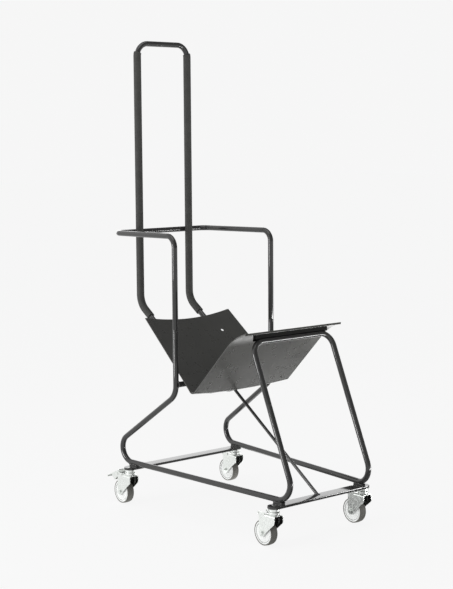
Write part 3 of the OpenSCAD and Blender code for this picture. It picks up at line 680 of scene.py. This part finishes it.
# %% [markdown]
# ## Forks, heads and pedal
# A fork is pressed from zinc-plated sheet. Its cheeks are round in front and narrow down to a boss round
# the axle, so a rounded plate is set into each side of an eased copy of the solid. The plate could be cut
# from a cylinder, but it is simpler to draw: a vertex is extruded round the outline, the loop is filled,
# and the face is extruded to a plate. It is drawn once and copied for all the forks. The heads, the pedal
# and its pin are eased copies.

# %% Copying, joining and drawing
def copy_to(model, name, matrix):
    """One copy of a model with its own mesh, put in place in that mesh."""
    piece = model.copy()
    piece.data = model.data.copy()
    piece.name = piece.data.name = name
    bpy.context.scene.collection.objects.link(piece)
    piece.data.transform(matrix)
    return piece


def join(pieces, name):
    clear_selection()
    for piece in pieces:
        piece.select_set(True)
    bpy.context.view_layer.objects.active = pieces[0]
    bpy.ops.object.join()
    joined = bpy.context.object
    joined.name = joined.data.name = name
    return joined


def draw_chain(name, places, closed=False):
    """Extrude one vertex from place to place, and leave the chain of edges in edit mode."""
    clear_selection()
    bpy.ops.mesh.primitive_plane_add(size=MM, location=places[0], calc_uvs=False)
    piece = bpy.context.object
    piece.name = piece.data.name = name
    bpy.ops.object.transform_apply()
    bpy.ops.object.mode_set(mode="EDIT")
    bpy.ops.mesh.select_all(action="SELECT")
    bpy.ops.mesh.merge(type="CENTER")
    for here, there in zip(places, places[1:]):
        bpy.ops.mesh.extrude_vertices_move(TRANSFORM_OT_translate={"value": there - here})
    if closed:
        bpy.ops.mesh.select_all(action="DESELECT")
        bpy.ops.object.mode_set(mode="OBJECT")
        for vertex in piece.data.vertices:
            vertex.select = min((vertex.co - end).length for end in (places[0], places[-1])) < MERGE
        bpy.ops.object.mode_set(mode="EDIT")
        bpy.ops.mesh.edge_face_add()
    bpy.ops.mesh.select_all(action="SELECT")
    return piece


# %% Cheek plate
TRAIL, AXLE_Z, FORK_FRONT = 37, 40, 21
CHEEK_T, CHEEK_R, CHEEK_Z, CHEEK_TOP_Z = 2.3, 12, 82.5, 94.5
BOSS_R = 9.5
CHEEK_STEPS = 16
PRESSED_EASE = 0.35

nose = Vector((FORK_FRONT - CHEEK_R, CHEEK_Z))
boss = Vector((-TRAIL, AXLE_Z))
reach = nose - boss
edge_angle = math.atan2(reach.y, reach.x) - math.acos((CHEEK_R - BOSS_R) / reach.length)


def around(centre, radius, angle):
    return centre + radius * Vector((math.cos(angle), math.sin(angle)))


outline = [Vector((nose.x + CHEEK_R, CHEEK_TOP_Z))]
outline += [around(nose, CHEEK_R, edge_angle * step / CHEEK_STEPS) for step in range(CHEEK_STEPS + 1)]
outline += [around(boss, BOSS_R, edge_angle), boss, Vector((nose.x - CHEEK_R, CHEEK_TOP_Z))]
cheek = draw_chain("cheek", [point(x, -CHEEK_T / 2, z) for x, z in outline], closed=True)
bpy.ops.mesh.edge_face_add()
bpy.ops.mesh.extrude_region_move(TRANSFORM_OT_translate={"value": point(0, CHEEK_T, 0)})
bpy.ops.mesh.select_all(action="SELECT")
bpy.ops.mesh.normals_make_consistent(inside=False)
bpy.ops.object.mode_set(mode="OBJECT")
eased(cheek, PRESSED_EASE)
print("cheek plate", len(cheek.data.polygons), "faces")

# %% Forks, heads and pedal
CASTERS = {
    "front_left": (374, 186), "front_right": (374, -186),
    "rear_left": (-300, 228), "rear_right": (-300, -228),
}
CHEEK_Y = 16.75
FORK_GAP, GAP_PLAY, CROWN_UNDER_Z = 31, 0.3, 95
PEDAL_EASE = 0.4


def paint_shade_inside(fork, middle):
    """Mark the faces that look at the wheel, which get painted shade: a dark zinc colour for the shade in
    there.
    """
    shade = fork.data.attributes.new("inside", "FLOAT", "FACE")
    for face in fork.data.polygons:
        across = face.center.y / MM - middle
        low = face.center.z / MM < CROWN_UNDER_Z
        if low and abs(across) < FORK_GAP / 2 + GAP_PLAY and face.normal.y * across < 0:
            shade.data[face.index].value = 1


for name, (x, y) in CASTERS.items():
    plates = [
        copy_to(cheek, f"{name}_cheek", Matrix.Translation(point(x, y + side * CHEEK_Y, 0)))
        for side in SIDES.values()
    ]
    fork = join([ease_copy(f"fork_{name}", f"{name}_fork", PRESSED_EASE)] + plates, f"{name}_fork")
    paint_shade_inside(fork, y)
    settle(fork, f"swivel_{name}", "zinc_plate", f"fork_{name}")
    head = ease_copy(f"caster_head_{name}", f"{name}_head", PRESSED_EASE)
    settle(head, "frame", "zinc_plate", f"caster_head_{name}")
settle(ease_copy("brake_pedal", "foot_pedal", PEDAL_EASE), "brake", "zinc_plate", "brake_pedal")
settle(ease_copy("brake_pin", "pedal_pin", PEDAL_EASE), "swivel_rear_right", "zinc_plate", "brake_pin")
bpy.data.objects.remove(cheek)
print("forks and heads:", len(CASTERS), "of each, and the pedal with its pin")

# %% [markdown]
# ## Wheels
# A wheel is a turned shape, so its half section is drawn as a chain of edges and spun once round the axle.
# The centre is moulded plastic with a hub, a flat disc, a ring groove and two rim lips. The tyre fills the
# channel between the lips and has a crowned tread. The discs are plain.

# %% Turning helpers
TURN_STEPS = 72


def turn(name, profile, steps=TURN_STEPS, closed=False):
    """Spin a half section of (radius, height) in millimetres about the Y axis."""
    piece = draw_chain(name, [point(radius, height, 0) for radius, height in profile], closed)
    bpy.ops.mesh.spin(steps=steps, angle=math.tau, center=(0, 0, 0), axis=(0, 1, 0))
    bpy.ops.mesh.select_all(action="SELECT")
    bpy.ops.mesh.remove_doubles(threshold=MERGE)
    bpy.ops.mesh.normals_make_consistent(inside=False)
    bpy.ops.object.mode_set(mode="OBJECT")
    return smooth(piece)


def mirrored(half):
    """A section that is the same on both sides of the wheel."""
    return half + [(radius, -height) for radius, height in reversed(half)]


# %% Wheel centre
BORE_R, HUB_R, HUB_Y, HUB_EASE = 6.1, 13.0, 15.0, 0.5
DISC_Y, DISC_EASE = 11.0, 0.6
GROOVE_IN_R, GROOVE_OUT_R, GROOVE_Y, GROOVE_EASE = 29.6, 31.4, 8.4, 0.3
RIM_R, RIM_Y, RIM_EASE = 35.8, 12.0, 0.4
CHANNEL_R, CHANNEL_Y = 34.0, 10.5
wheel_model = turn("wheel_model", mirrored([
    (BORE_R, HUB_Y), (HUB_R - HUB_EASE, HUB_Y), (HUB_R, HUB_Y - HUB_EASE),
    (HUB_R, DISC_Y + DISC_EASE), (HUB_R + DISC_EASE, DISC_Y),
    (GROOVE_IN_R - GROOVE_EASE, DISC_Y), (GROOVE_IN_R, DISC_Y - GROOVE_EASE), (GROOVE_IN_R, GROOVE_Y),
    (GROOVE_OUT_R, GROOVE_Y), (GROOVE_OUT_R, RIM_Y - RIM_EASE), (GROOVE_OUT_R + RIM_EASE, RIM_Y),
    (RIM_R - RIM_EASE, RIM_Y), (RIM_R, RIM_Y - RIM_EASE), (RIM_R, CHANNEL_Y), (CHANNEL_R, CHANNEL_Y),
]), closed=True)
print("wheel centre", len(wheel_model.data.polygons), "faces")

# %% Tyre
TYRE_R, TYRE_Y, CROWN_R = 40, 12.6, 70
BEAD_PLAY, BEAD_EASE = 0.1, 0.4
SHOULDER = ((2.0, 0.0), (1.4, 0.3), (1.0, 1.0))
CROWN_PLACES = (10.5, 8, 5, 2.5)
tyre_half = [
    (CHANNEL_R, CHANNEL_Y), (RIM_R, CHANNEL_Y), (RIM_R + BEAD_PLAY, TYRE_Y - BEAD_EASE),
    (RIM_R + BEAD_PLAY + BEAD_EASE, TYRE_Y),
]
tyre_half += [(TYRE_R - inward, TYRE_Y - across) for inward, across in SHOULDER]
tyre_half += [(TYRE_R - CROWN_R + math.sqrt(CROWN_R ** 2 - y ** 2), y) for y in CROWN_PLACES]
other_half = mirrored(tyre_half)[len(tyre_half):]
tyre_model = turn("tyre_model", tyre_half + [(TYRE_R, 0)] + other_half, closed=True)
print("tyre", len(tyre_model.data.polygons), "faces")

# %% Four wheels
for name, (x, y) in CASTERS.items():
    axle = Matrix.Translation(point(x - TRAIL, y, AXLE_Z))
    wheel = copy_to(wheel_model, f"{name}_wheel", axle)
    settle(wheel, f"wheel_{name}", "wheel_plastic", f"wheel_centre_{name}")
    tyre = copy_to(tyre_model, f"{name}_tyre", axle)
    settle(tyre, f"wheel_{name}", "tyre_rubber", f"tyre_{name}")
bpy.data.objects.remove(wheel_model)
bpy.data.objects.remove(tyre_model)
print("wheels and tyres:", len(CASTERS), "of each")

# %% [markdown]
# ## Fasteners
# The fasteners show how the trolley is put together: domed rivets pin the push-fit joints, two socket
# screws hold the tall hoop to the rear bar, and a hexagon bolt with a nut and washers carries each wheel.
# Round heads are turned from a half section. A hexagon is a six-sided prism that is cut down by a turned
# blank, as on the real bolt, where a lathe takes the corners off. The socket is cut out by a small
# six-sided prism.

# %% Fastener helpers
CUT_OVER, BLANK_PLAY, HEAD_SUNK = 0.5, 0.1, 0.2
CHAMFER_DEEP, CHAMFER_IN = 1.1, 0.4


def stand(place, direction):
    """A matrix that stands a turned piece, whose axis is Y, on a place and points it along a direction."""
    lean = Vector((0, 1, 0)).rotation_difference(direction)
    return Matrix.Translation(place) @ lean.to_matrix().to_4x4()


def domed_pin(name, shank_r, depth, sunk, dome, steps):
    """A shank that goes in by depth, under a head that is sunk a little and has a domed outline."""
    head_r = dome[0][0]
    return turn(name, [(0, -depth), (shank_r, -depth), (shank_r, -sunk), (head_r, -sunk), *dome], steps)


def prism(name, flats, low, high):
    """Six sides, given across the flats in millimetres, from low to high along Y."""
    clear_selection()
    bpy.ops.mesh.primitive_cylinder_add(
        vertices=6, radius=flats / math.sqrt(3) * MM, depth=(high - low) * MM,
        location=point(0, (low + high) / 2, 0), rotation=(math.radians(90), 0, 0),
    )
    piece = bpy.context.object
    piece.name = piece.data.name = name
    bpy.ops.object.transform_apply()
    return piece


def cut_by(piece, tool, operation):
    apply_modifier(piece, "BOOLEAN", operation=operation, object=tool)
    bpy.data.objects.remove(tool)
    return smooth(piece)


def hexagon(name, flats, low, high):
    """A prism with its outer corners turned off."""
    corner = flats / math.sqrt(3) + BLANK_PLAY
    blank = turn("turned_blank", [
        (0, low - CUT_OVER), (corner, low - CUT_OVER), (corner, high - CHAMFER_DEEP),
        (flats / 2 - CHAMFER_IN, high), (0, high),
    ])
    return cut_by(prism(name, flats, low - HEAD_SUNK, high + CUT_OVER), blank, "INTERSECT")


# %% Rivets
TUBE_R = TUBE_D / 2
RIVET_DROP = 5.5
RIVET_DOME = [(3.5, 0.15), (3.2, 0.55), (2.6, 0.95), (1.7, 1.25), (0.8, 1.38), (0, 1.4)]
rivet = domed_pin("rivet", shank_r=1.9, depth=2.5, sunk=0.8, dome=RIVET_DOME, steps=28)
up_leg = (leg(1, FRONT_BAR_Z) - leg(1, RAIL_Z)).normalized()
post_face, leg_face = Vector((1, 0, 0)), Vector((up_leg.z, 0, -up_leg.x))
heads = []
for word, side in SIDES.items():
    post_pin = post(side, POST_SEAM_Z - RIVET_DROP)
    leg_pin = leg(side, LEG_SEAM_Z) - up_leg * RIVET_DROP * MM
    for tube, pin, face in (("post", post_pin, post_face), ("leg", leg_pin, leg_face)):
        heads.append(copy_to(rivet, f"{word}_{tube}_rivet", stand(pin + face * TUBE_R * MM, face)))
settle(join(heads, "seam_rivets"), "frame", "frame_paint", "joint_rivets")
bpy.data.objects.remove(rivet)
print(len(heads), "rivets")

# %% Hoop screws
SCREW_DOME = [(6, 0.2), (5.7, 1.3), (5.0, 2.4), (4.0, 3.2), (3.4, 3.5), (0, 3.5)]
SOCKET_FLATS, SOCKET_FLOOR, SOCKET_TOP = 4, 1.2, 5
screw = domed_pin("screw", shank_r=3, depth=24.5, sunk=2.4, dome=SCREW_DOME, steps=40)
cut_by(screw, prism("socket", SOCKET_FLATS, SOCKET_FLOOR, SOCKET_TOP), "DIFFERENCE")
back_face = Vector((-1, 0, 0))
heads = [
    copy_to(screw, f"{word}_screw", stand(point(ARM_REAR_X - TUBE_R, side * HOOP_Y, REAR_BAR_Z), back_face))
    for word, side in SIDES.items()
]
settle(join(heads, "socket_screws"), "frame", "zinc_plate", "hoop_screws")
bpy.data.objects.remove(screw)
print(len(heads), "socket screws")

# %% Axle bolts and nuts
FORK_HALF = 18
WASHER_IN_R, WASHER_R, WASHER_T, WASHER_EASE = 4.05, 8.3, 1.2, 0.3
WASHER_TOP = FORK_HALF + WASHER_T
BOLT_FLATS, BOLT_R, BOLT_TOP, NUT_TOP = 13, 4, 23.0, 24.0
SHANK_IN_HEAD = 0.5
SHANK_TOP = WASHER_TOP + SHANK_IN_HEAD
THREAD = [(BOLT_R, -24.2), (3.6, -24.6), (BOLT_R, -25.0), (3.6, -25.4), (3.2, -26.0), (0, -26.0)]
WASHER_STEPS, SHANK_STEPS = 40, 32
washer = [
    (WASHER_IN_R, FORK_HALF), (WASHER_R - WASHER_EASE, FORK_HALF), (WASHER_R, FORK_HALF + WASHER_EASE),
    (WASHER_R, WASHER_TOP - WASHER_EASE), (WASHER_R - WASHER_EASE, WASHER_TOP), (WASHER_IN_R, WASHER_TOP),
]
bolt_model = join([
    hexagon("axle_bolt", BOLT_FLATS, WASHER_TOP, BOLT_TOP),
    turn("washer", washer, WASHER_STEPS, closed=True),
    turn("shank", [(0, SHANK_TOP), (BOLT_R, SHANK_TOP)] + THREAD, SHANK_STEPS),
], "axle_bolt")
nut_model = join([
    hexagon("axle_nut", BOLT_FLATS, WASHER_TOP, NUT_TOP),
    turn("washer", washer, WASHER_STEPS, closed=True),
], "axle_nut")
for name, (x, y) in CASTERS.items():
    axle = point(x - TRAIL, y, AXLE_Z)
    outward = Vector((0, math.copysign(1, y), 0))
    bolt = copy_to(bolt_model, f"{name}_axle_bolt", stand(axle, outward))
    settle(bolt, f"swivel_{name}", "zinc_plate", f"axle_bolt_{name}")
    nut = copy_to(nut_model, f"{name}_axle_nut", stand(axle, -outward))
    settle(nut, f"swivel_{name}", "zinc_plate", f"axle_nut_{name}")
bpy.data.objects.remove(bolt_model)
bpy.data.objects.remove(nut_model)
print("bolts and nuts:", len(CASTERS), "of each")

# %% [markdown]
# ## Ridges on the pedal
# The pad of the brake pedal has cross ridges, so that a shoe doesn't slip. Each is a small bar with rounded
# edges. They are laid out level, where their places are easy to read, and then turned to the slope of the
# pedal.

# %% Ridges on the pedal
PEDAL_PIN = point(-350, -228, 99)
PEDAL_SLOPE = math.radians(-25)
RIDGES, RIDGE_PITCH = 5, 6
FIRST_RIDGE_X, RIDGE_Z = -61, 11.1
RIDGE_SIZE = point(2.4, 24, 1.8)
RIDGE_EASE = 0.7
ridges = []
for step in range(RIDGES):
    clear_selection()
    ridge_place = point(FIRST_RIDGE_X + RIDGE_PITCH * step, 0, RIDGE_Z)
    bpy.ops.mesh.primitive_cube_add(size=1, location=ridge_place, scale=RIDGE_SIZE)
    bpy.ops.object.transform_apply()
    ridges.append(bpy.context.object)
    apply_modifier(ridges[-1], "BEVEL", width=RIDGE_EASE * MM, segments=3)
grip = smooth(join(ridges, "pedal_ridges"))
grip.data.transform(Matrix.Translation(PEDAL_PIN) @ Matrix.Rotation(PEDAL_SLOPE, 4, "Y"))
settle(grip, "brake", "zinc_plate")
print(RIDGES, "pedal ridges")

# %% [markdown]
# ## Welds
# The fixed tubes, the rod and the base pads are welded, then painted with the rest. A bead follows the line
# where two surfaces meet, so its path is worked out as a ring of points that rises and falls round the
# tube. A curve with a round section and a radius that swells and shrinks gives the ripples of a hand weld.

# %% Weld helpers
WELD_PITCH, WELD_RIPPLE, WELD_STEP = 2.4, 0.16, 0.5
BEAD_SIDES = 2
RING_POINTS = 144


def weld(points, bead, closed=True):
    line = bpy.data.curves.new("weld", "CURVE")
    line.dimensions = "3D"
    line.bevel_depth = bead * MM
    line.bevel_resolution = BEAD_SIDES
    line.use_fill_caps = True
    spline = line.splines.new("POLY")
    spline.points.add(len(points) - 1)
    spline.use_cyclic_u = closed
    run, last = 0, points[0]
    for knot, place in zip(spline.points, points):
        run, last = run + (place - last).length / MM, place
        knot.co = (*place, 1)
        knot.radius = 1 + WELD_RIPPLE * math.sin(math.tau * run / WELD_PITCH)
    piece = bpy.data.objects.new("weld", line)
    bpy.context.scene.collection.objects.link(piece)
    take(piece)
    bpy.ops.object.convert(target="MESH")
    return bpy.context.object


def ring(centre, along, right, radius, rise, count=RING_POINTS):
    """Points round a tube; rise gives how far along its axis the joint lies at each angle."""
    across = along.cross(right)
    angles = [math.tau * step / count for step in range(count)]
    return [
        centre + (right * math.cos(a) + across * math.sin(a)) * radius * MM + along * rise(a) * MM
        for a in angles
    ]


def chain(*corners):
    """Straight runs between corners, in steps short enough for the ripples."""
    points = []
    for start, end in zip(corners, corners[1:]):
        count = max(1, round((end - start).length / MM / WELD_STEP))
        points += [start.lerp(end, step / count) for step in range(count)]
    return points


# %% Welds of the tubes
LEFT, AHEAD = Vector((0, 1, 0)), Vector((1, 0, 0))
WELD_LIFT = 0.3
CROSS_BEAD, HOOP_BEAD = 1.7, 1.4
beads = []


def post_rise(a):
    """The ends of the cross tube meet the round of the posts, which stand a little behind it."""
    return math.sqrt(max(0, TUBE_R ** 2 - (CROSS_X - POST_X + TUBE_R * math.cos(a)) ** 2))


def saddle_rise(a):
    """The ends of the tall hoop sit on the round of the cross tube."""
    return TUBE_R * abs(math.sin(a)) + WELD_LIFT


for side in SIDES.values():
    end = point(CROSS_X, side * POST_Y, CROSS_Z)
    beads.append(weld(ring(end, -side * LEFT, AHEAD, TUBE_R + WELD_LIFT, post_rise), CROSS_BEAD))
    foot = point(CROSS_X, side * HOOP_Y, CROSS_Z)
    up = (point(HOOP_X, side * HOOP_Y, HOOP_KNEE_Z) - foot).normalized()
    beads.append(weld(ring(foot, up, up.cross(LEFT), TUBE_R, saddle_rise), HOOP_BEAD))
print(len(beads), "beads on the tubes")

# %% Welds of the rod
BAR_TOP_Z = 128
ROD_R, ROD_FOOT_X = 5, 363
ROD_POINTS = 96
FOOT_BEAD, FOOT_LIFT = 1.5, 0.5
HEAD_BEAD, HEAD_LIFT = 1.4, 0.2
rod_foot, rod_head = point(ROD_FOOT_X, 0, BAR_TOP_Z), point(CROSS_X, 0, CROSS_Z - ROD_R)
up = (rod_head - rod_foot).normalized()
under = up.cross(LEFT)


def foot_rise(a):
    """The foot of the rod is cut off level with the top of the flat bar."""
    return -(ROD_R + WELD_LIFT) * math.cos(a) * under.z / up.z + FOOT_LIFT


def head_rise(a):
    """How far before its head the rod meets the round of the cross tube."""
    off = Vector((under.x * ROD_R * math.cos(a), 0, under.z * ROD_R * math.cos(a) - ROD_R))
    half = up.dot(off)
    return half + math.sqrt(max(0, half ** 2 - off.length_squared + TUBE_R ** 2))


beads.append(weld(ring(rod_foot, up, under, ROD_R + WELD_LIFT, foot_rise, ROD_POINTS), FOOT_BEAD))
beads.append(weld(ring(rod_head, -up, under, ROD_R + HEAD_LIFT, head_rise, ROD_POINTS), HEAD_BEAD))
print(len(beads), "beads with those of the rod")

# %% Welds of the base pads
PAD_PLACES = (376, -288)
PAD_LONG, PAD_WIDE = 38, 15
RAIL_BEAD_Y, RAIL_BEAD_Z = 6.9, 136.9
PAD_BEAD = 1.3
WELD_DEGREES = 60
PAD_CORNERS = ((-1, -1), (1, -1), (1, 1), (-1, 1), (-1, -1))
RAIL_SLOPE = (REAR_Y - FRONT_Y) / (FRONT_CORNER_X - REAR_CORNER_X)
half_long, half_wide = PAD_LONG / 2, PAD_WIDE / 2
for side in SIDES.values():
    for middle in PAD_PLACES:
        y = side * (FRONT_Y + (FRONT_CORNER_X - middle) * RAIL_SLOPE)
        ends = [
            point(middle + s * half_long, y - s * side * half_long * RAIL_SLOPE, RAIL_BEAD_Z) for s in (-1, 1)
        ]
        for edge in (-RAIL_BEAD_Y, RAIL_BEAD_Y):
            beads.append(weld(chain(*[end + point(0, edge, 0) for end in ends]), PAD_BEAD, closed=False))
        corners = [
            point(middle + a * half_long, y + b * half_wide, BAR_TOP_Z + WELD_LIFT) for a, b in PAD_CORNERS
        ]
        beads.append(weld(chain(*corners), PAD_BEAD))
welds = smooth(join(beads, "weld_beads"), WELD_DEGREES)
settle(welds, "frame", "frame_paint")
print("welds:", len(welds.data.polygons), "faces")

# %% [markdown]
# ## Finish on the solids that stay
# Spigots, balls and axle sleeves are hidden inside other pieces. They keep their solids and only take their
# finish.

# %% Solids that stay
shown = [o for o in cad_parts.values() if not o.hide_render]
for node in shown:
    node.data.materials.clear()
    node.data.materials.append(FINISHES["zinc_plate"])
print("solids that stay:", len(shown))
